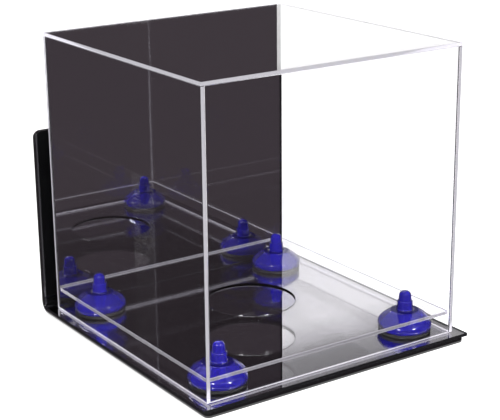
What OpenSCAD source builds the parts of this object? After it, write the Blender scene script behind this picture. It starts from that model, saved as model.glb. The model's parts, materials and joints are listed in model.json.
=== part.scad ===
// Display case for one football: a lift-off acrylic cover with a mirrored back stands on a
// mirror base. Four risers on rubber pads carry a clear platform with a seat hole for the
// ball, and an L-shaped bracket under the base holds the case on a wall. Millimetres, +Z up, front
// towards -Y, origin at the bottom centre of the whole case.

/* [Cover] */
// Outer width of the cover
cover_w = 254; // [200:1:420]
// Outer depth of the cover
cover_d = 254; // [200:1:420]
// Outer height of the cover, from its bottom edge to the top face
cover_h = 255; // [120:1:420]
// Thickness of the clear panels
panel_t = 3; // [2:0.5:6]
// Thickness of the mirrored back panel
mirror_back_t = 3; // [2:0.5:6]

/* [Mirror base] */
// Thickness of the mirror base sheet
mirror_base_t = 3; // [2:0.5:6]
// How far the mirror base stands out past the cover on every side
base_overhang = 9.5; // [4:0.5:25]

/* [Platform] */
// Thickness of the clear platform
platform_t = 3; // [2:0.5:6]
// Gap between the platform's edges and the cover's inner faces
platform_gap = 0.4; // [0.2:0.1:4]
// Corner radius of the platform
platform_corner_r = 1.5; // [0.5:0.5:8]
// Diameter of the seat hole that the ball sits in
ball_hole_d = 80; // [40:1:110]
// Radial clearance between a peg and its hole in the platform
peg_clearance = 0.4; // [0.2:0.1:1.5]

/* [Risers] */
// Distance from the cover's outer faces to each riser's axis
riser_inset = 30; // [30:0.5:44]
// Diameter of the riser's foot on its pad
riser_foot_d = 44.8; // [38:0.2:46]
// Largest diameter of the riser's dome
riser_dome_d = 46.8; // [42:0.2:52]
// Height of the widest part of the dome above the mirror base
riser_dome_z = 6; // [4:0.5:8]
// Height of the seat that the platform rests on
riser_seat_h = 16.8; // [14:0.2:28]
// Outer diameter of the flat seat at the top of the dome
riser_seat_d = 24.8; // [20:0.2:30]
// Wall thickness of the moulded riser
riser_wall = 2.2; // [1.6:0.1:3]
// Diameter of the peg where it passes through the platform
peg_base_d = 14.6; // [12:0.1:17]
// Diameter of the peg just above its base
peg_mid_d = 13.6; // [11:0.1:16]
// Diameter of the peg at the rounded tip
peg_tip_d = 10.6; // [8:0.1:12]
// Height of the peg's base step above the platform's top face
peg_step_rise = 0.8; // [0.4:0.1:2]
// Height of the whole peg above the seat
peg_h = 19.6; // [16:0.2:30]
// Radius of the small rounded steps on the peg
peg_step_r = 0.7; // [0.3:0.1:0.9]
// Outer diameter of the boss inside the riser that takes the screw
boss_d = 9; // [7:0.5:11]

/* [Riser pads] */
// Diameter of the rubber pad between each riser and the mirror base
pad_d = 45.6; // [40:0.2:50]
// Thickness of the pad
pad_t = 2.4; // [1:0.1:3]
// Rounding of the pad's upper edge
pad_edge_r = 0.5; // [0.2:0.1:0.8]

/* [Wall bracket] */
// Thickness of the bracket's sheet
bracket_t = 4.8; // [3:0.1:8]
// Inner radius of the bracket's bend
bend_r = 5.2; // [3:0.1:12]
// Overall height of the bracket's upright from the surface it stands on
bracket_h = 172; // [120:1:240]
// How far the bracket's side edges sit in from the mirror base's side edges
bracket_side_inset = 3.2; // [0.5:0.1:15]
// How far the bracket's front edge sits in from the mirror base's front edge
bracket_front_inset = 0.6; // [0.2:0.1:15]
// Radius of the bracket's two front corners
bracket_front_r = 5; // [2:0.5:12]
// Radius of the upright's two top corners
bracket_top_r = 6.5; // [2:0.5:15]
// Gap between the mirror base's back edge and the start of the bend
bend_gap = 0.3; // [0.2:0.1:5]
// Diameter of the wall screw holes in the upright
wall_hole_d = 5.5; // [4:0.1:7]
// Sideways distance between the wall screw holes
wall_pitch_x = 200; // [80:1:230]
// Upright distance between the two rows of wall screw holes
wall_pitch_z = 80; // [20:1:95]
// Distance from the upright's top edge down to the upper row of holes
wall_row_drop = 25; // [12:1:30]

/* [Riser screws] */
// Diameter of the screw's shank
screw_d = 3.5; // [3:0.1:4]
// Diameter of the countersunk head
screw_head_d = 7; // [6.5:0.1:8]
// Length of screw that bites into the riser
screw_bite = 9; // [6:0.5:12]
// How far the head sits above the bracket's underside
screw_recess = 0.1; // [0.05:0.05:0.4]
// Width of the cross recess's arms
cross_w = 1; // [0.8:0.1:1.2]
// Length of the cross recess, tip to tip
cross_l = 4; // [3:0.1:5]
// Depth of the cross recess
cross_depth = 1.1; // [0.8:0.1:1.3]
// Radial clearance of the screw in the bracket and in the mirror base
screw_clearance = 0.3; // [0.2:0.05:0.5]
// Radial clearance of the screw's thread in the riser's boss
thread_clearance = 0.05; // [0.02:0.01:0.1]

/* [Hidden] */
$fn = 64;

// Colours
black_acrylic = [0.02, 0.02, 0.022];
base_mirror = [0.75, 0.77, 0.8];
back_mirror = [0.7, 0.72, 0.76];
blue_plastic = [0.09, 0.08, 0.55];
black_rubber = [0.06, 0.06, 0.06];
zinc = [0.7, 0.7, 0.72];
clear_panel = [0.85, 0.88, 0.92, 0.25];
clear_platform = [0.85, 0.88, 0.92, 0.35];

// A cut runs this far past the faces it goes through
cut = 1;
// Sides of the circle that stands for the large seat hole
seat_hole_fn = 128;

// The riser's outline: points along each curved stretch and along each rounded step
curve_steps = 6;
step_points = 4;
// How the dome leaves its foot, and how far below its widest part it is upright again
foot_flare = [0.3, 1];
widest_drop = 1.6;
// Upright pull of the dome's upper curve at both ends, as a share of its rise, and the
// sideways pull at the seat, as a share of its reach
dome_pull = 0.3;
seat_pull = 0.5;
// The hollow's side comes this close to the seat's edge, as a share of the wall
seat_wall_share = 0.4;
// Height of the peg's upper step, as a share of the peg above its base step
neck_share = 0.426;
// The peg's middle draws in by this much, and ends in a flat ledge this wide
peg_draft = 0.1;
peg_ledge = 0.4;
// The round tip starts this far below the top, and its curve's handles, as shares of its radius
tip_share = 0.75;
tip_pull = 0.5;
tip_draft = 0.2;
// The screw bore in the riser goes this much deeper than the screw
bore_spare = 1.5;

// Levels
base_z = bracket_t;
deck_z = base_z + mirror_base_t;
seat_z = deck_z + riser_seat_h;
wall_h = cover_h - panel_t;
peg_step_h = platform_t + peg_step_rise;

// The mirror base and, behind it, the bend and the upright
base_w = cover_w + 2 * base_overhang;
base_d = cover_d + 2 * base_overhang;
total_d = base_d + bend_gap + bend_r + bracket_t;
base_front_y = -total_d / 2;
cover_front_y = base_front_y + base_overhang;
cover_y = cover_front_y + cover_d / 2;
bend_start_y = base_front_y + base_d + bend_gap;

// The bracket
bracket_w = base_w - 2 * bracket_side_inset;
leg_front_y = base_front_y + bracket_front_inset;
leg_len = bend_start_y - leg_front_y;
upright_y = bend_start_y + bend_r;
upright_h = bracket_h - bracket_t - bend_r;
wall_row_z = bracket_h - wall_row_drop;

// The space inside the cover, and the platform in it
inside_w = cover_w - 2 * panel_t;
inside_d = cover_d - panel_t - mirror_back_t;
inside_front_y = cover_front_y + panel_t;
platform_w = inside_w - 2 * platform_gap;
platform_d = inside_d - 2 * platform_gap;
platform_y = inside_front_y + inside_d / 2;
peg_hole_d = peg_base_d + 2 * peg_clearance;

// Riser axes, measured in from the cover's outer faces
riser_x = cover_w / 2 - riser_inset;
riser_front_y = cover_front_y + riser_inset;
riser_back_y = cover_front_y + cover_d - riser_inset;

// The screws: the head's cone has a right angle
head_h = (screw_head_d - screw_d) / 2;
screw_top = deck_z + pad_t + screw_bite;
bore_h = pad_t + screw_bite + bore_spare;

// A point on the cubic curve with the end points a, d and the handles b, c
function curve(a, b, c, d, t) =
    a * pow(1 - t, 3) + 3 * b * pow(1 - t, 2) * t + 3 * c * (1 - t) * pow(t, 2) + d * pow(t, 3);

// Points along that curve, without its first one
function curve_points(a, b, c, d) =
    [for (i = [1:curve_steps]) curve(a, b, c, d, i / curve_steps)];

// The quarter circle that rounds a step, from its side face to its top face
function step_round(radius, top, r) =
    [for (i = [0:step_points]) let (turn = i * 90 / step_points)
        [radius - r + r * cos(turn), top - r + r * sin(turn)]];

// The dome's side, from the foot at z_low to the seat, pulled in by the wall thickness
function dome_side(wall, z_low) = let (
    foot_r = riser_foot_d / 2 - wall,
    dome_r = riser_dome_d / 2 - wall,
    seat_r = riser_seat_d / 2 - wall * seat_wall_share,
    seat_h = riser_seat_h - wall,
    widest = [dome_r, riser_dome_z],
    low = [foot_r, z_low],
    seat = [seat_r, seat_h],
    rise = seat_h - riser_dome_z,
    reach = dome_r - seat_r
) concat(
    [low],
    curve_points(low, low + foot_flare, widest - [0, widest_drop], widest),
    curve_points(
        widest,
        widest + [0, rise * dome_pull],
        seat + [reach * seat_pull, -rise * dome_pull],
        seat
    )
);

// The riser's outline, from the pad's top face: the dome up to the seat, then the stepped
// peg and its round tip. Heights are above the mirror base.
function riser_outline() = let (
    base_r = peg_base_d / 2,
    mid_r = peg_mid_d / 2,
    tip_r = peg_tip_d / 2,
    step_z = riser_seat_h + peg_step_h,
    tip_z = riser_seat_h + peg_h,
    neck_z = step_z + (tip_z - step_z) * neck_share,
    shoulder = [tip_r, tip_z - tip_r * tip_share]
) concat(
    [[0, pad_t]],
    dome_side(0, pad_t),
    [[base_r, riser_seat_h]],
    step_round(base_r, step_z, peg_step_r),
    [[mid_r, step_z]],
    step_round(mid_r - peg_draft, neck_z, peg_step_r),
    [[mid_r - peg_draft - peg_step_r - peg_ledge, neck_z]],
    [shoulder],
    curve_points(
        shoulder,
        shoulder + [-tip_draft, tip_r * tip_pull],
        [tip_r * tip_pull, tip_z],
        [0, tip_z]
    )
);

// A plate with round corners, centred on its middle
module round_plate(w, d, t, r) {
    linear_extrude(height = t)
        union() {
            square([w - 2 * r, d], center = true);
            square([w, d - 2 * r], center = true);
            for (sx = [-1, 1], sy = [-1, 1])
                translate([sx * (w / 2 - r), sy * (d / 2 - r)]) circle(r = r);
        }
}

// A plate w wide that starts square at y = 0 and ends at y = len with two round corners
module tongue(w, len, t, r) {
    linear_extrude(height = t)
        union() {
            translate([-w / 2, 0]) square([w, len - r]);
            translate([-w / 2 + r, 0]) square([w - 2 * r, len]);
            for (sx = [-1, 1]) translate([sx * (w / 2 - r), len - r]) circle(r = r);
        }
}

// Places its child at each riser's axis
module at_risers() {
    for (x = [-riser_x, riser_x], y = [riser_front_y, riser_back_y])
        translate([x, y, 0]) children();
}

// The hole that a countersunk screw leaves in the bracket
module countersink() {
    translate([0, 0, -cut]) cylinder(d = screw_d + 2 * screw_clearance, h = bracket_t + 2 * cut);
    translate([0, 0, -cut])
        cylinder(
            d1 = screw_head_d + 2 * (cut + screw_recess),
            d2 = screw_d,
            h = cut + screw_recess + head_h
        );
}

module bracket_leg() {
    translate([0, bend_start_y, 0])
        rotate([0, 0, 180]) tongue(bracket_w, leg_len, bracket_t, bracket_front_r);
}

module bracket_bend() {
    translate([-bracket_w / 2, bend_start_y, bracket_t + bend_r])
        rotate([0, 90, 0])
            rotate_extrude(angle = 90)
                translate([bend_r, 0]) square([bracket_t, bracket_w]);
}

module bracket_upright() {
    translate([0, upright_y + bracket_t, bracket_t + bend_r])
        rotate([90, 0, 0]) tongue(bracket_w, upright_h, bracket_t, bracket_top_r);
}

module wall_holes() {
    for (x = [-wall_pitch_x / 2, wall_pitch_x / 2], z = [wall_row_z, wall_row_z - wall_pitch_z])
        translate([x, upright_y - cut, z])
            rotate([-90, 0, 0]) cylinder(d = wall_hole_d, h = bracket_t + 2 * cut);
}

module wall_bracket() {
    color(black_acrylic)
        difference() {
            union() {
                bracket_leg();
                bracket_bend();
                bracket_upright();
            }
            wall_holes();
            at_risers() countersink();
        }
}

module mirror_base() {
    color(base_mirror)
        difference() {
            translate([-base_w / 2, base_front_y, base_z]) cube([base_w, base_d, mirror_base_t]);
            at_risers()
                translate([0, 0, base_z - cut])
                    cylinder(d = screw_d + 2 * screw_clearance, h = mirror_base_t + 2 * cut);
        }
}

// The hollow under the dome, around the screw boss
module riser_hollow() {
    difference() {
        rotate_extrude()
            polygon(concat(
                [[0, 0], [riser_foot_d / 2 - riser_wall, 0]],
                dome_side(riser_wall, pad_t),
                [[0, riser_seat_h - riser_wall]]
            ));
        translate([0, 0, -cut]) cylinder(d = boss_d, h = riser_seat_h);
    }
}

module riser(x, y) {
    color(blue_plastic)
        translate([x, y, deck_z])
            difference() {
                rotate_extrude() polygon(riser_outline());
                riser_hollow();
                translate([0, 0, -cut])
                    cylinder(d = screw_d + 2 * thread_clearance, h = bore_h + cut);
            }
}

// The rubber pad under a riser
module riser_pad(x, y) {
    color(black_rubber)
        translate([x, y, deck_z])
            difference() {
                rotate_extrude()
                    polygon(concat(
                        [[0, 0], [pad_d / 2, 0]],
                        step_round(pad_d / 2, pad_t, pad_edge_r),
                        [[0, pad_t]]
                    ));
                translate([0, 0, -cut])
                    cylinder(d = screw_d + 2 * screw_clearance, h = pad_t + 2 * cut);
            }
}

module riser_screw() {
    difference() {
        union() {
            translate([0, 0, screw_recess]) cylinder(d1 = screw_head_d, d2 = screw_d, h = head_h);
            translate([0, 0, screw_recess]) cylinder(d = screw_d, h = screw_top - screw_recess);
        }
        for (turn = [0, 90])
            rotate([0, 0, turn])
                translate([-cross_l / 2, -cross_w / 2, screw_recess - cut])
                    cube([cross_l, cross_w, cross_depth + cut]);
    }
}

module riser_screws() {
    color(zinc) at_risers() riser_screw();
}

module platform() {
    color(clear_platform)
        difference() {
            translate([0, platform_y, seat_z])
                round_plate(platform_w, platform_d, platform_t, platform_corner_r);
            translate([0, platform_y, seat_z - cut])
                cylinder(d = ball_hole_d, h = platform_t + 2 * cut, $fn = seat_hole_fn);
            at_risers()
                translate([0, 0, seat_z - cut]) cylinder(d = peg_hole_d, h = platform_t + 2 * cut);
        }
}

module front_panel() {
    color(clear_panel)
        translate([-inside_w / 2, cover_front_y, deck_z]) cube([inside_w, panel_t, wall_h]);
}

// The two side panels are alike: each runs the whole depth of the cover
module side_panel(x) {
    color(clear_panel)
        translate([x, cover_front_y, deck_z]) cube([panel_t, cover_d, wall_h]);
}

module top_panel() {
    color(clear_panel)
        translate([-cover_w / 2, cover_front_y, deck_z + wall_h]) cube([cover_w, cover_d, panel_t]);
}

module mirror_back_panel() {
    color(back_mirror)
        translate([-inside_w / 2, inside_front_y + inside_d, deck_z])
            cube([inside_w, mirror_back_t, wall_h]);
}

wall_bracket();
mirror_base();
riser(-riser_x, riser_front_y);  // riser_front_left
riser(riser_x, riser_front_y);  // riser_front_right
riser(-riser_x, riser_back_y);  // riser_back_left
riser(riser_x, riser_back_y);  // riser_back_right
riser_pad(-riser_x, riser_front_y);  // riser_pad_front_left
riser_pad(riser_x, riser_front_y);  // riser_pad_front_right
riser_pad(-riser_x, riser_back_y);  // riser_pad_back_left
riser_pad(riser_x, riser_back_y);  // riser_pad_back_right
riser_screws();
platform();
front_panel();
side_panel(-cover_w / 2);  // left_panel
side_panel(cover_w / 2 - panel_t);  // right_panel
top_panel();
mirror_back_panel();
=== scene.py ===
"""The looks of a football display case: clear sheets with polished edges, a mirrored back and
base, moulded blue risers on rubber pads, and a bent black wall bracket."""

import json
import math

import bmesh
import bpy
from mathutils import Matrix, Vector, geometry


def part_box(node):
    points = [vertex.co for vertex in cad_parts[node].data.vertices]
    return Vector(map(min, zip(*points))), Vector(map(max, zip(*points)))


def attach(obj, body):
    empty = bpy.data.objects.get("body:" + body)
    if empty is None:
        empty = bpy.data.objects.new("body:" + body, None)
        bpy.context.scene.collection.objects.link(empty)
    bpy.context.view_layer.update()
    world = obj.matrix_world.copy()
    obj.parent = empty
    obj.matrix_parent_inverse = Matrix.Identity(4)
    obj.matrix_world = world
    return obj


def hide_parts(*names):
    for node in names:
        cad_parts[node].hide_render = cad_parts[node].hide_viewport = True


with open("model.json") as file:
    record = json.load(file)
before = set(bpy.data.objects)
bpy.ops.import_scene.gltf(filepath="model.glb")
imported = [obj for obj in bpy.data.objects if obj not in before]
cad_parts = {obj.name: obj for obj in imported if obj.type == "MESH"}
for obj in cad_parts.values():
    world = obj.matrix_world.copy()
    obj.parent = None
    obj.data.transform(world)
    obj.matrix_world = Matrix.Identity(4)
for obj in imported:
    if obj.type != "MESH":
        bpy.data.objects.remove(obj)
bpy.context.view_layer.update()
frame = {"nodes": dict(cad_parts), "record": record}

MM = 0.001
X, Y, Z = Vector((1, 0, 0)), Vector((0, 1, 0)), Vector((0, 0, 1))


# --- Sizes, in metres. Places come from the CAD boxes. ---

SKIN = 0.03 * MM            # air between two sheets that meet
EDGE_R = 0.35 * MM          # rounding of a polished sheet edge
EDGE_STEPS = 4
CORNER_R = 0.5 * MM         # rounding of a panel's corners
CORNER_STEPS = 6
BACKING_T = 0.06 * MM       # paint behind a mirror
PLATFORM_R = 1.5 * MM       # rounding of the platform's corners
PLATFORM_STEPS = 8
BALL_HOLE_R = 40 * MM
BALL_HOLE_STEPS = 160
PEG_HOLE_R = 7.7 * MM
PEG_HOLE_STEPS = 72
SCREW_HOLE_R = 2.05 * MM

BRACKET_EDGE_R = 0.6 * MM
BRACKET_FRONT_R = 5 * MM    # rounding of its front corners
BRACKET_TOP_R = 6.5 * MM
BRACKET_STEPS = 10
BEND_GAP = 0.3 * MM         # from the mirror base to the start of the bend
BEND_STEPS = 14
DRILL_STEPS = 48
DRILL_RIM_R = 0.3 * MM      # rounding of a wall-screw hole's rim
SINK_R = 3.62 * MM          # countersink under each riser screw
SINK_LAND = 0.1 * MM        # its straight wall before the cone
SINK_DEPTH = 1.87 * MM
SINK_RIM_R = 0.2 * MM

PAD_EDGE_R = 0.5 * MM
FOOT_R = 22.4 * MM          # a riser's foot, its widest ring, and the seat of the platform
DOME_R = 23.4 * MM
DOME_Z = 6 * MM
SEAT_Z = 16.8 * MM
SEAT_R = 12.4 * MM
LIP_R = 0.35 * MM           # chamfer of the foot's rims
FOOT_PULL = Vector((0.3, 1)) * MM
DOME_PULL = Vector((0, 1.6)) * MM
CROWN_PULL = 0.3            # share of the rise over which the crown's curve leaves each end
CROWN_REACH = 0.5
WALL_T = 2.2 * MM
SEAT_WALL_SHARE = 0.4       # of WALL_T, by which the hollow is narrower under the seat
PEG_BASE_R = 7.3 * MM       # a peg has three steps, and a fillet where it leaves the seat
PEG_MID_R = 6.8 * MM
PEG_NECK_R = PEG_MID_R - 0.1 * MM
PEG_TIP_R = 5.3 * MM
PEG_FILLET_R = 0.6 * MM
PEG_STEP_RISE = 3.8 * MM
PEG_STEP_R = 0.7 * MM
PEG_NECK_SHARE = 0.426      # of the height from the first step to the tip
PEG_LEDGE = 0.4 * MM
PEG_H = 19.6 * MM
TIP_DROP = 0.75             # shares of the tip's radius: where its dome starts
TIP_PULL = 0.5              # and how far the dome's curve leaves each end
TIP_LEAN = 0.2 * MM
BOSS_R = 4.5 * MM
BORE_R = 1.8 * MM
BORE_TOP = 12.9 * MM

TURN_STEPS = 96             # of a turned piece
SHARP_ANGLE = math.radians(38)


# --- Outlines ---

def circle(x, y, radius, steps=64):
    """A closed circle of points, clockwise as a hole's outline runs."""
    turn = [-2 * math.pi * i / steps for i in range(steps)]
    return [Vector((x + radius * math.cos(a), y + radius * math.sin(a))) for a in turn]


def round_rect(low, high, radii, steps=CORNER_STEPS):
    """A closed anticlockwise rectangle. radii are for the corners low-low, high-low,
    high-high and low-high."""
    corners = [(low[0], low[1]), (high[0], low[1]), (high[0], high[1]), (low[0], high[1])]
    inward = [(1, 1), (-1, 1), (-1, -1), (1, -1)]
    points = []
    for k, ((x, y), (sx, sy), r) in enumerate(zip(corners, inward, radii)):
        start = math.pi + k * math.pi / 2
        for i in range(steps + 1):
            a = start + i * math.pi / 2 / steps
            points.append(Vector((x + sx * r + r * math.cos(a), y + sy * r + r * math.sin(a))))
    return points


def moved_left(outline, distance):
    """The closed outline, moved to the left of its own direction."""
    out = []
    for i, p in enumerate(outline):
        before = (p - outline[i - 1]).normalized()
        after = (outline[(i + 1) % len(outline)] - p).normalized()
        along = (before + after).normalized()
        left = Vector((-along.y, along.x))
        out.append(p + left * distance / max(0.3, left.dot(Vector((-before.y, before.x)))))
    return out


def edge_profile(low, high, r=EDGE_R):
    """(inset, height) pairs that round both edges of a sheet."""
    turns = [i * math.pi / 2 / EDGE_STEPS for i in range(EDGE_STEPS + 1)]
    bottom = [(r * (1 - math.sin(a)), low + r * (1 - math.cos(a))) for a in turns]
    return bottom + [(inset, high - (h - low)) for inset, h in reversed(bottom)]


# --- Meshes ---

def finish_mesh(name, bm, materials, place=None):
    """A new object from bm, moved by the matrix place, with its normals outward."""
    if place is not None:
        bmesh.ops.transform(bm, matrix=place, verts=bm.verts)
    bmesh.ops.recalc_face_normals(bm, faces=bm.faces)
    mesh = bpy.data.meshes.new(name)
    bm.to_mesh(mesh)
    bm.free()
    for material in materials:
        mesh.materials.append(material)
    obj = bpy.data.objects.new(name, mesh)
    bpy.context.scene.collection.objects.link(obj)
    return obj


def add_cap(bm, rings, material):
    """Closes the outlines at one face of a sheet."""
    if len(rings) == 1:
        faces = [bm.faces.new(rings[0])]
    else:
        verts = [v for ring in rings for v in ring]
        tris = geometry.tessellate_polygon([[v.co.copy() for v in ring] for ring in rings])
        faces = [bm.faces.new([verts[i] for i in tri]) for tri in tris]
    for face in faces:
        face.material_index = material
        face.smooth = False


def sheet_mesh(loops, bottom=0, side=1):
    """A sheet from (outline, profile) pairs: its rim first, then its holes. bottom and side
    are material indices, and the top has the first material."""
    bm = bmesh.new()
    bottom_rings, top_rings = [], []
    for outline, profile in loops:
        rings = []
        for inset, height in profile:
            points = moved_left(outline, inset)
            rings.append([bm.verts.new((p.x, p.y, height)) for p in points])
        count = len(outline)
        for low, high in zip(rings, rings[1:]):
            for i in range(count):
                j = (i + 1) % count
                face = bm.faces.new((low[i], low[j], high[j], high[i]))
                face.material_index = side
                face.smooth = True
        bottom_rings.append(rings[0])
        top_rings.append(rings[-1])
    add_cap(bm, bottom_rings, bottom)
    add_cap(bm, top_rings, 0)
    return bm


def lathe(name, profile, centre, material):
    """A turned piece. profile is (radius, height) pairs that start and end on the axis, or
    close on themselves."""
    closed = profile[0][0] > 0
    bm = bmesh.new()
    rings = []
    for r, h in profile:
        if r == 0:
            rings.append([bm.verts.new((0, 0, h))] * TURN_STEPS)
        else:
            turn = [2 * math.pi * i / TURN_STEPS for i in range(TURN_STEPS)]
            rings.append([bm.verts.new((r * math.cos(a), r * math.sin(a), h)) for a in turn])
    pairs = list(zip(rings, rings[1:]))
    if closed:
        pairs.append((rings[-1], rings[0]))
    for low, high in pairs:
        for i in range(TURN_STEPS):
            j = (i + 1) % TURN_STEPS
            corners = [low[i], low[j], high[j], high[i]]
            face = bm.faces.new(list(dict.fromkeys(corners)))
            face.smooth = True
    obj = finish_mesh(name, bm, (material,), Matrix.Translation(centre))
    obj.data.set_sharp_from_angle(angle=SHARP_ANGLE)
    return obj


def axes(u, v, w, origin):
    """The matrix that takes a sheet's own x, y and z to u, v and w."""
    columns = Matrix((u, v, w)).transposed().to_4x4()
    return Matrix.Translation(origin) @ columns


# --- Materials ---

def new_material(name):
    material = bpy.data.materials.new(name)
    material.use_nodes = True
    nodes, links = material.node_tree.nodes, material.node_tree.links
    return material, nodes, links, nodes["Principled BSDF"]


def noise(nodes, links, scale, detail):
    """Noise in the object's own coordinates, in features per metre."""
    coords = nodes.new("ShaderNodeTexCoord")
    texture = nodes.new("ShaderNodeTexNoise")
    texture.inputs["Scale"].default_value = scale
    texture.inputs["Detail"].default_value = detail
    links.new(coords.outputs["Object"], texture.inputs["Vector"])
    return texture.outputs["Fac"]


def ranged(nodes, links, value, low, high, from_low=0.3, from_high=0.7):
    """value, stretched from one range to another. Noise is mostly between 0.3 and 0.7."""
    node = nodes.new("ShaderNodeMapRange")
    node.inputs["From Min"].default_value = from_low
    node.inputs["From Max"].default_value = from_high
    node.inputs["To Min"].default_value = low
    node.inputs["To Max"].default_value = high
    links.new(value, node.inputs["Value"])
    return node.outputs["Result"]


def tinted(nodes, links, value, dark, light):
    node = nodes.new("ShaderNodeMix")
    node.data_type = "RGBA"
    node.inputs["A"].default_value = (*dark, 1)
    node.inputs["B"].default_value = (*light, 1)
    links.new(value, node.inputs["Factor"])
    return node.outputs["Result"]


def mottled(nodes, links, shader, value, colours, roughness):
    """Colour and roughness that vary together."""
    links.new(tinted(nodes, links, value, *colours), shader.inputs["Base Color"])
    links.new(ranged(nodes, links, value, *roughness), shader.inputs["Roughness"])


def bump(nodes, links, shader, height, distance, strength):
    node = nodes.new("ShaderNodeBump")
    node.inputs["Distance"].default_value = distance
    node.inputs["Strength"].default_value = strength
    links.new(height, node.inputs["Height"])
    links.new(node.outputs["Normal"], shader.inputs["Normal"])


def lets_light_in(nodes, links, shader, tint):
    """Lamps shine through the clear sheets."""
    path = nodes.new("ShaderNodeLightPath")
    clear = nodes.new("ShaderNodeBsdfTransparent")
    clear.inputs["Color"].default_value = (*tint, 1)
    mix = nodes.new("ShaderNodeMixShader")
    links.new(path.outputs["Is Shadow Ray"], mix.inputs[0])
    links.new(shader.outputs[0], mix.inputs[1])
    links.new(clear.outputs[0], mix.inputs[2])
    links.new(mix.outputs[0], nodes["Material Output"].inputs["Surface"])


ACRYLIC_IOR = 1.49
PLASTIC_IOR = 1.5
GLOSS_IOR = 1.9             # of the shine on moulded and black sheet plastic
# Emission strengths of the painted glow on cut edges: the cover's, the platform's rims and the
# platform's flat outer band.
COVER_PAINTED_GLOW = 0.38           # painted glow: emission on a clear sheet's cut edge, in place of light that the sheet gathers and lets out there
RIM_PAINTED_GLOW = 0.45
PLATFORM_PAINTED_GLOW = 0.2


def make_clear_acrylic():
    material, nodes, links, shader = new_material("clear_acrylic")
    shader.inputs["Base Color"].default_value = (0.985, 0.982, 0.992, 1)
    shader.inputs["Transmission Weight"].default_value = 1
    shader.inputs["IOR"].default_value = ACRYLIC_IOR
    smears = noise(nodes, links, 30, detail=4)
    links.new(ranged(nodes, links, smears, 0.0, 0.012), shader.inputs["Roughness"])
    bump(nodes, links, shader, noise(nodes, links, 9, detail=1), 0.02 * MM, 0.08)
    lets_light_in(nodes, links, shader, (0.97, 0.965, 0.98))
    return material


def make_acrylic_edge(name, painted_glow, transmission, roughness):
    """A cut edge, lightly sawn. Its lavender-white colour and its emission are a painted glow."""
    material, nodes, links, shader = new_material(name)
    shader.inputs["Base Color"].default_value = (0.93, 0.915, 0.965, 1)
    shader.inputs["Transmission Weight"].default_value = transmission
    shader.inputs["IOR"].default_value = ACRYLIC_IOR
    saw = noise(nodes, links, 260, detail=2)
    sawn = ranged(nodes, links, saw, roughness * 0.8, roughness * 1.2)
    links.new(sawn, shader.inputs["Roughness"])
    bump(nodes, links, shader, saw, 0.01 * MM, 0.2)
    # painted glow: a lavender emission that lights the cut edge from within
    shader.inputs["Emission Color"].default_value = (0.93, 0.9, 1, 1)
    shader.inputs["Emission Strength"].default_value = painted_glow
    lets_light_in(nodes, links, shader, (0.9, 0.89, 0.94))
    return material


def make_mirror_coat():
    material, nodes, links, shader = new_material("mirror_coat")
    shader.inputs["Base Color"].default_value = (0.86, 0.86, 0.87, 1)
    shader.inputs["Metallic"].default_value = 1
    waves = noise(nodes, links, 14, detail=2)
    links.new(ranged(nodes, links, waves, 0.0, 0.015), shader.inputs["Roughness"])
    bump(nodes, links, shader, waves, 0.05 * MM, 0.3)
    return material


def make_mirror_edge():
    material, nodes, links, shader = new_material("mirror_edge")
    saw = noise(nodes, links, 300, detail=3)
    colours = (0.006, 0.006, 0.007), (0.014, 0.014, 0.016)
    mottled(nodes, links, shader, saw, colours, (0.14, 0.26))
    shader.inputs["IOR"].default_value = ACRYLIC_IOR
    bump(nodes, links, shader, saw, 0.01 * MM, 0.3)
    return material


def make_mirror_backing():
    material, nodes, links, shader = new_material("mirror_backing")
    spray = noise(nodes, links, 900, detail=4)
    patches = noise(nodes, links, 18, detail=3)
    colours = (0.085, 0.088, 0.092), (0.12, 0.124, 0.13)
    mottled(nodes, links, shader, patches, colours, (0.42, 0.58))
    bump(nodes, links, shader, spray, 0.03 * MM, 0.6)
    return material


def add_gloss(shader):
    shader.inputs["Coat Weight"].default_value = 1
    shader.inputs["Coat Roughness"].default_value = 0.02
    shader.inputs["Coat IOR"].default_value = GLOSS_IOR


def make_black_acrylic():
    material, nodes, links, shader = new_material("black_acrylic")
    haze = noise(nodes, links, 22, detail=5)
    colours = (0.0022, 0.0022, 0.0026), (0.006, 0.006, 0.0065)
    mottled(nodes, links, shader, haze, colours, (0.04, 0.11))
    shader.inputs["IOR"].default_value = ACRYLIC_IOR
    add_gloss(shader)
    bump(nodes, links, shader, noise(nodes, links, 12, detail=1), 0.12 * MM, 0.5)
    return material


def make_blue_plastic():
    material, nodes, links, shader = new_material("blue_plastic")
    pigment = noise(nodes, links, 160, detail=4)
    colours = (0.009, 0.007, 0.21), (0.013, 0.0095, 0.28)
    mottled(nodes, links, shader, pigment, colours, (0.08, 0.13))
    shader.inputs["IOR"].default_value = PLASTIC_IOR
    add_gloss(shader)
    bump(nodes, links, shader, noise(nodes, links, 420, detail=2), 0.02 * MM, 0.5)
    return material


def make_black_rubber():
    material, nodes, links, shader = new_material("black_rubber")
    grain = noise(nodes, links, 1400, detail=4)
    dust = noise(nodes, links, 120, detail=3)
    colours = (0.006, 0.006, 0.0055), (0.015, 0.015, 0.0135)
    mottled(nodes, links, shader, dust, colours, (0.5, 0.72))
    bump(nodes, links, shader, grain, 0.05 * MM, 0.8)
    return material


def make_zinc():
    material, nodes, links, shader = new_material("zinc_screw")
    spangle = noise(nodes, links, 900, detail=4)
    mottled(nodes, links, shader, spangle, ((0.48, 0.49, 0.5), (0.66, 0.67, 0.68)), (0.2, 0.38))
    shader.inputs["Metallic"].default_value = 1
    bump(nodes, links, shader, spangle, 0.02 * MM, 0.5)
    return material


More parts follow.
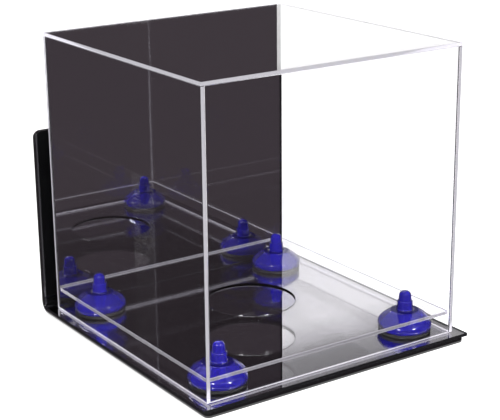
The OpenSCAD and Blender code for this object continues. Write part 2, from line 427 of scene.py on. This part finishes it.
clear_acrylic = make_clear_acrylic()
cover_edge = make_acrylic_edge("cover_edge", COVER_PAINTED_GLOW, 0.85, 0.15)
platform_rim = make_acrylic_edge("platform_rim", RIM_PAINTED_GLOW, 0.9, 0.06)
platform_edge = make_acrylic_edge("platform_edge", PLATFORM_PAINTED_GLOW, 0.9, 0.06)
mirror_coat = make_mirror_coat()
mirror_edge = make_mirror_edge()
mirror_backing = make_mirror_backing()
black_acrylic = make_black_acrylic()
blue_plastic = make_blue_plastic()
black_rubber = make_black_rubber()
zinc = make_zinc()


def declare(piece, body, slot, *nodes):
    """The piece rides on body and stands in for the CAD nodes. slot is not used."""
    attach(piece, body)
    if nodes:
        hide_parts(*nodes)


# --- Flat sheets: how far a node's box reaches along a sheet's own axes ---

def halves(node, axes_of):
    """The centre of the node's box, and half its size along each axis, less the air gap."""
    low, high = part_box(node)
    half = (high - low) / 2
    return (low + high) / 2, [abs(half.dot(a)) - SKIN for a in axes_of]


# --- The cover's panels ---

FACES_SIDE = 0.3            # least cosine between an edge's face and the side it looks to


def panel(node, u, v, w, glued=()):
    """A flat sheet that fills the node's box. w is its thickness axis. An edge that is glued to
    another sheet stays clear, and the others are cut edges with a painted glow."""
    centre, (half_u, half_v, half_w) = halves(node, (u, v, w))
    outline = round_rect((-half_u, -half_v), (half_u, half_v), [CORNER_R] * 4)
    bm = sheet_mesh([(outline, edge_profile(-half_w, half_w))])
    bm.normal_update()
    turn = Matrix((u, v, w)).transposed()
    for face in bm.faces:
        way = turn @ face.normal
        if any(way.dot(side) > FACES_SIDE for side in glued):
            face.material_index = 0
    piece = finish_mesh(f"{node}_sheet", bm, (clear_acrylic, cover_edge), axes(u, v, w, centre))
    declare(piece, "cover", "clear_acrylic", node)


panel("front_panel", X, Z, -Y, glued=(X, -X, Z))
panel("left_panel", Y, Z, X, glued=(Z,))
panel("right_panel", Y, Z, X, glued=(Z,))
panel("top_panel", X, Y, Z)


# --- The mirrors: a clear sheet, its silver coat, and the paint behind it ---

def mirror(node, body, u, v, w, holes=()):
    """w looks out of the mirror's bright face. Each hole is a place on its axis."""
    centre, (half_u, half_v, half_w) = halves(node, (u, v, w))
    outline = round_rect((-half_u, -half_v), (half_u, half_v), [CORNER_R] * 4)
    cuts = [circle((h - centre).dot(u), (h - centre).dot(v), SCREW_HOLE_R) for h in holes]
    back = BACKING_T - half_w
    bm = sheet_mesh([(line, edge_profile(back, half_w)) for line in [outline, *cuts]], bottom=2)
    materials = (clear_acrylic, mirror_edge, mirror_coat)
    sheet = finish_mesh(f"{node}_sheet", bm, materials, axes(u, v, w, centre))
    declare(sheet, body, "acrylic_mirror", node)
    flat = [(0, -half_w), (0, back - SKIN / 2)]
    inner = moved_left(outline, EDGE_R)
    bm = sheet_mesh([(line, flat) for line in [inner, *cuts]], side=0)
    paint = finish_mesh(f"{node}_backing", bm, (mirror_backing,), axes(u, v, w, centre))
    declare(paint, body, "acrylic_mirror")


riser_names = [
    name for name in frame["nodes"]
    if name.startswith("riser_") and "pad" not in name and name != "riser_screws"
]
riser_places = []
for name in riser_names:
    low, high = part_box(name)
    riser_places.append(Vector(((low.x + high.x) / 2, (low.y + high.y) / 2, 0)))

mirror("mirror_base", "base", X, Y, Z, riser_places)
mirror("mirror_back_panel", "cover", X, Z, -Y)


# --- The platform, with its seat hole and four peg holes ---

UPRIGHT = 0.05              # most that an upright face's normal may rise


def make_platform():
    """Its holes are clear. Its outer edge is a flat band between two rims with a brighter painted
    glow.
    """
    low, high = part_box("platform")
    centre = (low + high) / 2
    half = (high - low) / 2
    corners = [PLATFORM_R] * 4
    outline = round_rect((-half.x, -half.y), (half.x, half.y), corners, PLATFORM_STEPS)
    cuts = [circle(0, 0, BALL_HOLE_R, BALL_HOLE_STEPS)]
    for place in riser_places:
        cuts.append(circle(place.x - centre.x, place.y - centre.y, PEG_HOLE_R, PEG_HOLE_STEPS))
    profile = edge_profile(-half.z, half.z)
    bm = sheet_mesh([(line, profile) for line in [outline, *cuts]])
    bm.normal_update()
    for face in bm.faces:
        at = face.calc_center_median()
        if min(half.x - abs(at.x), half.y - abs(at.y)) > EDGE_R * 2:
            face.material_index = 0
        elif abs(face.normal.z) < UPRIGHT:
            face.material_index = 2
    materials = (clear_acrylic, platform_rim, platform_edge)
    piece = finish_mesh("platform_sheet", bm, materials, Matrix.Translation(centre))
    declare(piece, "platform", "clear_acrylic", "platform")


make_platform()


# --- The risers and their pads ---

def curve(a, b, c, d, steps=16):
    """Points along a cubic curve, without its first one."""
    out = []
    for i in range(1, steps + 1):
        t = i / steps
        s = 1 - t
        out.append(a * s ** 3 + b * 3 * s * s * t + c * 3 * s * t * t + d * t ** 3)
    return out


def quarter(centre, r, start, steps=6):
    """A quarter circle, anticlockwise from start degrees, both ends included."""
    turn = [math.radians(start + i * 90 / steps) for i in range(steps + 1)]
    return [centre + Vector((r * math.cos(a), r * math.sin(a))) for a in turn]


def dome_side(wall, foot_z):
    """From the foot up to the seat, wall inside the riser's outer side."""
    low = Vector((FOOT_R - wall, foot_z))
    widest = Vector((DOME_R - wall, DOME_Z))
    seat = Vector((SEAT_R - wall * SEAT_WALL_SHARE, SEAT_Z - wall))
    rise, reach = seat.y - widest.y, widest.x - seat.x
    lower = curve(low, low + FOOT_PULL, widest - DOME_PULL, widest, 8)
    up = Vector((0, rise * CROWN_PULL))
    out = Vector((reach * CROWN_REACH, -rise * CROWN_PULL))
    return [low] + lower + curve(widest, widest + up, seat + out, seat)


def riser_profile(foot_z):
    """From the top of the screw bore on the axis, round the outside, to the peg's tip."""
    step_z = SEAT_Z + PEG_STEP_RISE
    tip_z = SEAT_Z + PEG_H
    neck_z = step_z + (tip_z - step_z) * PEG_NECK_SHARE
    hollow = list(reversed(dome_side(WALL_T, foot_z)))
    side = dome_side(0, foot_z)
    points = [Vector((0, BORE_TOP)), Vector((BORE_R, BORE_TOP)), Vector((BORE_R, foot_z + LIP_R))]
    points += [Vector((BORE_R + LIP_R, foot_z)), Vector((BOSS_R, foot_z))]
    points += [Vector((BOSS_R, SEAT_Z - WALL_T))] + hollow
    rim = [Vector((side[0].x - LIP_R, foot_z)), Vector((side[0].x, foot_z + LIP_R))]
    points += rim + side[2:]
    fillet = Vector((PEG_BASE_R + PEG_FILLET_R, SEAT_Z + PEG_FILLET_R))
    points += quarter(fillet, PEG_FILLET_R, 180)[::-1]
    points += quarter(Vector((PEG_BASE_R - PEG_STEP_R, step_z - PEG_STEP_R)), PEG_STEP_R, 0)
    points += [Vector((PEG_MID_R, step_z))]
    points += quarter(Vector((PEG_NECK_R - PEG_STEP_R, neck_z - PEG_STEP_R)), PEG_STEP_R, 0)
    shoulder = Vector((PEG_TIP_R, tip_z - PEG_TIP_R * TIP_DROP))
    points += [Vector((PEG_NECK_R - PEG_STEP_R - PEG_LEDGE, neck_z)), shoulder]
    leave = shoulder + Vector((-TIP_LEAN, PEG_TIP_R * TIP_PULL))
    points += curve(shoulder, leave, Vector((PEG_TIP_R * TIP_PULL, tip_z)), Vector((0, tip_z)))
    return points


deck_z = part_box("mirror_base")[1].z
for name, place in zip(riser_names, riser_places):
    pad_name = name.replace("riser_", "riser_pad_")
    pad_t = 0
    if pad_name in frame["nodes"]:
        low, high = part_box(pad_name)
        pad_t = high.z - low.z
        pad_r = (high.x - low.x) / 2
        rounding = quarter(Vector((pad_r - PAD_EDGE_R, pad_t - PAD_EDGE_R)), PAD_EDGE_R, 0)
        foot = quarter(Vector((pad_r - PAD_EDGE_R / 2, PAD_EDGE_R / 2)), PAD_EDGE_R / 2, 270)
        foot = [Vector((p.x, max(p.y, SKIN))) for p in foot]
        outline = [Vector((SCREW_HOLE_R, SKIN)), *foot, *rounding, Vector((SCREW_HOLE_R, pad_t))]
        pad = lathe(f"{pad_name}_disc", outline, place + Z * deck_z, black_rubber)
        declare(pad, "base", "black_rubber", pad_name)
    shell = lathe(f"{name}_shell", riser_profile(pad_t), place + Z * deck_z, blue_plastic)
    declare(shell, "base", "blue_plastic", name)

for slot in frame["nodes"]["riser_screws"].material_slots:
    slot.material = zinc


# --- The wall bracket: a flat sheet, bent once ---

def make_bracket():
    """Drawn flat with y along the sheet, cut into strips across the bend, then bent."""
    low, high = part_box("wall_bracket")
    base_low, base_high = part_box("mirror_base")
    t = base_low.z
    bend_y = base_high.y + BEND_GAP
    bend_r = high.y - t - bend_y
    arc = (bend_r + t / 2) * math.pi / 2
    flat_len = (bend_y - low.y) + arc + (high.z - t - bend_r)
    half_w = (high.x - low.x) / 2
    corners = [BRACKET_FRONT_R] * 2 + [BRACKET_TOP_R] * 2
    outline = round_rect((-half_w, 0), (half_w, flat_len), corners, BRACKET_STEPS)
    loops = [(outline, edge_profile(0, t, BRACKET_EDGE_R))]
    sunk = [(SINK_R - SCREW_HOLE_R, 0), (SINK_R - SCREW_HOLE_R, SINK_LAND), (0, SINK_DEPTH)]
    sunk += edge_profile(0, t, SINK_RIM_R)[EDGE_STEPS + 1:]
    for place in riser_places:
        loops.append((circle(place.x, place.y - low.y, SCREW_HOLE_R, DRILL_STEPS), sunk))
    mount = next(m for m in frame["record"]["mounts"] if m["name"] == "wall_screws")
    dims = mount["dims"]
    rows = mount["pos_m"][2]
    drilled = edge_profile(0, t, DRILL_RIM_R)
    for sx in (-1, 1):
        for sz in (-1, 1):
            x = sx * dims["spacing_x_mm"] * MM / 2
            z = rows + sz * dims["spacing_y_mm"] * MM / 2
            along = (bend_y - low.y) + arc + (z - t - bend_r)
            loops.append((circle(x, along, dims["hole_r_mm"] * MM, DRILL_STEPS), drilled))
    bm = sheet_mesh(loops, side=0)
    start = bend_y - low.y
    for i in range(BEND_STEPS + 1):
        cut = bm.verts[:] + bm.edges[:] + bm.faces[:]
        at = Vector((0, start + arc * i / BEND_STEPS, 0))
        bmesh.ops.bisect_plane(bm, geom=cut, dist=1e-7, plane_co=at, plane_no=Y)
    for v in bm.verts:
        s, h = v.co.y, v.co.z
        turn = min(max((s - start) / arc, 0), 1) * math.pi / 2
        radius = bend_r + t - h
        v.co.y = low.y + min(s, start) + radius * math.sin(turn)
        v.co.z = t + bend_r - radius * math.cos(turn) + max(s - start - arc, 0)
    obj = finish_mesh("wall_bracket_sheet", bm, (black_acrylic,))
    declare(obj, "base", "black_acrylic", "wall_bracket")


make_bracket()


# --- The stage: floor, cards, lights and camera ---

DIM = (0.055, 0.045, 0.052)     # the dim room that the mirrors and gloss see
WHITE = (1.2, 1.19, 1.2)
GREY = (0.34, 0.335, 0.34)
SKY = (0.28, 0.28, 0.28)
FLOOR_R = 9
FLOOR_GLOW = 0.7
CARD_LIFT = 0.002               # of the floor card above the floor
BACK_LEFT, BACK_RIGHT = 0.675, 3
BACK_Y, BACK_TOP = 0.9, 0.72
BACK_FADE = (0.515, 0.55)       # heights where the back card turns from white to grey
WALL_H, WALL_MIDDLE = 5, 2.4
SEEN_IN_MIRROR = 0.5            # of a whole bounce
CLEAR, GLOW = "ShaderNodeBsdfTransparent", "ShaderNodeEmission"


def make_pale_floor():
    material, _, _, shader = new_material("pale_floor")
    shader.inputs["Emission Color"].default_value = (1, 1, 1, 1)
    shader.inputs["Emission Strength"].default_value = FLOOR_GLOW
    shader.inputs["Base Color"].default_value = (0.9, 0.9, 0.9, 1)
    shader.inputs["Roughness"].default_value = 0.6
    shader.inputs["Specular IOR Level"].default_value = 0.1
    return material


def stage_plane(name, corners, material):
    mesh = bpy.data.meshes.new(name)
    mesh.from_pydata(corners, [], [(0, 1, 2, 3)])
    mesh.materials.append(material)
    obj = bpy.data.objects.new(name, mesh)
    bpy.context.scene.collection.objects.link(obj)


def mirrored(nodes, links):
    """1 for what is seen in a mirror or in gloss, and 0 for what is seen straight on."""
    path = nodes.new("ShaderNodeLightPath")
    above = nodes.new("ShaderNodeMath")
    above.operation = "GREATER_THAN"
    above.inputs[1].default_value = SEEN_IN_MIRROR
    links.new(path.outputs["Glossy Depth"], above.inputs[0])
    return above.outputs[0]


def card_material(name, low_colour, high_colour=None, fade=None, straight=CLEAR):
    """A card that mirrors and gloss see. It fades upward between the two heights of fade.
    What is seen straight on is the white shader node that straight names."""
    material = bpy.data.materials.new(name)
    material.use_nodes = True
    nodes, links = material.node_tree.nodes, material.node_tree.links
    nodes.clear()
    plain = nodes.new(straight)
    plain.inputs["Color"].default_value = (1, 1, 1, 1)
    lit = nodes.new("ShaderNodeEmission")
    lit.inputs["Color"].default_value = (*low_colour, 1)
    if high_colour:
        place = nodes.new("ShaderNodeNewGeometry")
        split = nodes.new("ShaderNodeSeparateXYZ")
        links.new(place.outputs["Position"], split.inputs[0])
        height = ranged(nodes, links, split.outputs["Z"], 0, 1, *fade)
        links.new(tinted(nodes, links, height, low_colour, high_colour), lit.inputs["Color"])
    mix = nodes.new("ShaderNodeMixShader")
    links.new(mirrored(nodes, links), mix.inputs[0])
    links.new(plain.outputs[0], mix.inputs[1])
    links.new(lit.outputs[0], mix.inputs[2])
    out = nodes.new("ShaderNodeOutputMaterial")
    links.new(mix.outputs[0], out.inputs["Surface"])
    return material


def level_square(z):
    signs = (-1, -1), (1, -1), (1, 1), (-1, 1)
    return [(x * FLOOR_R, y * FLOOR_R, z) for x, y in signs]


stage_plane("floor", level_square(0), make_pale_floor())
stage_plane("floor_card", level_square(CARD_LIFT), card_material("dim_card", DIM))
back_card = card_material("white_card", WHITE, GREY, BACK_FADE)
stage_plane("back_card", [
    (BACK_LEFT, BACK_Y, 0),
    (BACK_RIGHT, BACK_Y, 0),
    (BACK_RIGHT, BACK_Y, BACK_TOP),
    (BACK_LEFT, BACK_Y, BACK_TOP),
], back_card)


def backdrop():
    """A pale wall round the floor, so that low views have no dark horizon."""
    bm = bmesh.new()
    r = FLOOR_R - 0.1
    bmesh.ops.create_cone(bm, segments=96, radius1=r, radius2=r, depth=WALL_H)
    material = card_material("pale_wall", DIM, straight=GLOW)
    material.cycles.emission_sampling = "NONE"
    finish_mesh("backdrop", bm, (material,), Matrix.Translation(Z * WALL_MIDDLE))


backdrop()


def light_sky():
    """A bright room, which the mirrors and gloss see as a dim one."""
    world = bpy.data.worlds.new("studio")
    bpy.context.scene.world = world
    world.use_nodes = True
    nodes, links = world.node_tree.nodes, world.node_tree.links
    colour = tinted(nodes, links, mirrored(nodes, links), SKY, DIM)
    links.new(colour, nodes["Background"].inputs["Color"])


light_sky()


def direction(azimuth, elevation):
    """Away from the case. Azimuth 0 is in front of it."""
    a, e = math.radians(azimuth), math.radians(elevation)
    return Vector((math.sin(a) * math.cos(e), -math.cos(a) * math.cos(e), math.sin(e)))


LIGHTS_LOOK_AT = Vector((0, 0, 0.12))


def softbox(name, azimuth, elevation, distance, size, power):
    """A round light that looks at the case."""
    way = direction(azimuth, elevation)
    data = bpy.data.lights.new(name, "AREA")
    data.shape = "DISK"
    data.size = size
    data.energy = power
    obj = bpy.data.objects.new(name, data)
    obj.location = LIGHTS_LOOK_AT + way * distance
    obj.rotation_euler = way.to_track_quat("Z", "Y").to_euler()
    bpy.context.scene.collection.objects.link(obj)


softbox("key_left", -60, 36, 1.9, 0.3, 13)
softbox("key_right", 12, 36, 1.9, 0.3, 13)
softbox("back_fill", 150, 55, 2.6, 1.4, 8)


# The photograph's own viewing angle, in degrees, metres and millimetres of lens.
CAMERA_AT = (-0.65719, -0.97279, 0.47809)
CAMERA_AZIMUTH = 33.55
CAMERA_DOWN = 17.92
CAMERA_ROLL = -0.767
CAMERA_LENS = 100.97
CAMERA_SENSOR = 36
CAMERA_SHIFT = (0.0321, 0.0233)


def make_camera():
    data = bpy.data.cameras.new("camera")
    data.sensor_width = CAMERA_SENSOR
    data.lens = CAMERA_LENS
    data.shift_x, data.shift_y = CAMERA_SHIFT
    obj = bpy.data.objects.new("camera", data)
    bpy.context.scene.collection.objects.link(obj)
    azimuth = math.radians(CAMERA_AZIMUTH)
    elevation = math.radians(CAMERA_DOWN)
    roll = math.radians(CAMERA_ROLL)
    ahead = Vector((
        math.sin(azimuth) * math.cos(elevation),
        math.cos(azimuth) * math.cos(elevation),
        -math.sin(elevation),
    ))
    right = ahead.cross(Z).normalized()
    up = right.cross(ahead)
    level = right * math.cos(roll) + up * math.sin(roll)
    upright = up * math.cos(roll) - right * math.sin(roll)
    turn = Matrix((level, upright, -ahead)).transposed().to_4x4()
    obj.matrix_world = Matrix.Translation(CAMERA_AT) @ turn
    bpy.context.scene.camera = obj


make_camera()
bpy.context.scene.view_settings.view_transform = "Standard"
